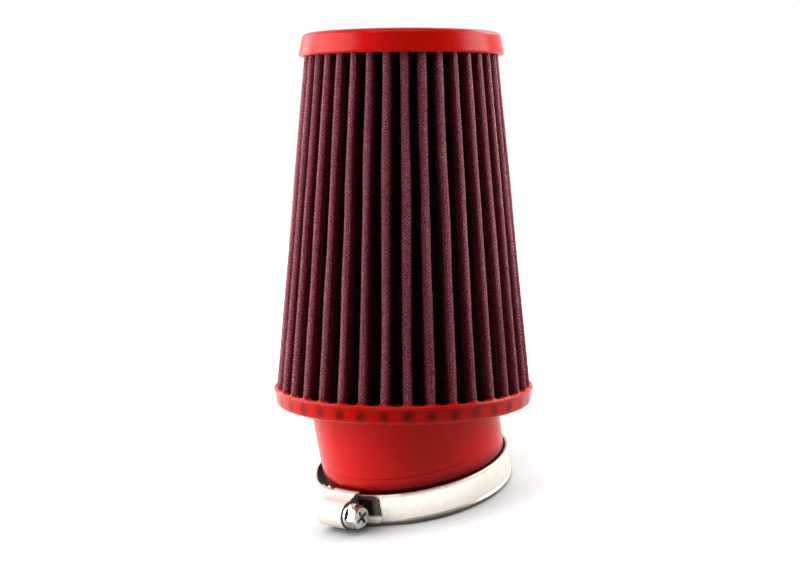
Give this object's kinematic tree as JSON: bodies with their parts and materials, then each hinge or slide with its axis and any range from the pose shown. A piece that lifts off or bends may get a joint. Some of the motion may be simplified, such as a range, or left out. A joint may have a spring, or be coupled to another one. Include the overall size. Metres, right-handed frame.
{
  "type": "cone air filter",
  "caption": "Pleated gauze cone between red cast ends, on an angled round neck with a loose worm drive clamp.",
  "frame": {"origin": "centre of the neck's mouth, in the plane that the filter stands on", "axes": "+Z along the neck's axis, from the mouth into the filter; the cone leans towards +X; the clamp's screw lies near -X"},
  "size_m": [0.1231, 0.1066, 0.192],
  "materials": {
    "polyurethane": "glossy red cast polyurethane, slightly translucent at its edges",
    "oiled_gauze": "cotton gauze, dark red with filter oil",
    "wire_mesh": "fine coated wire mesh tinted by the oil",
    "bright_steel": "bright rolled stainless strip",
    "plated_screw": "bright plated steel"
  },
  "bodies": {
    "filter": {"neck_flange": "polyurethane", "top_cap": "polyurethane", "gauze_media": "oiled_gauze", "outer_mesh": "wire_mesh", "inner_mesh": "wire_mesh", "clamp_band": "bright_steel", "clamp_housing": "bright_steel"},
    "screw": {"clamp_screw": "plated_screw"}
  },
  "joints": [
    {"name": "clamp_screw_turn", "type": "hinge", "parent": "filter", "child": "screw", "pos_m": [-0.0464, -0.00532, 0.007], "axis": [0.1305, -0.9914, 0], "continuous": true}
  ]
}
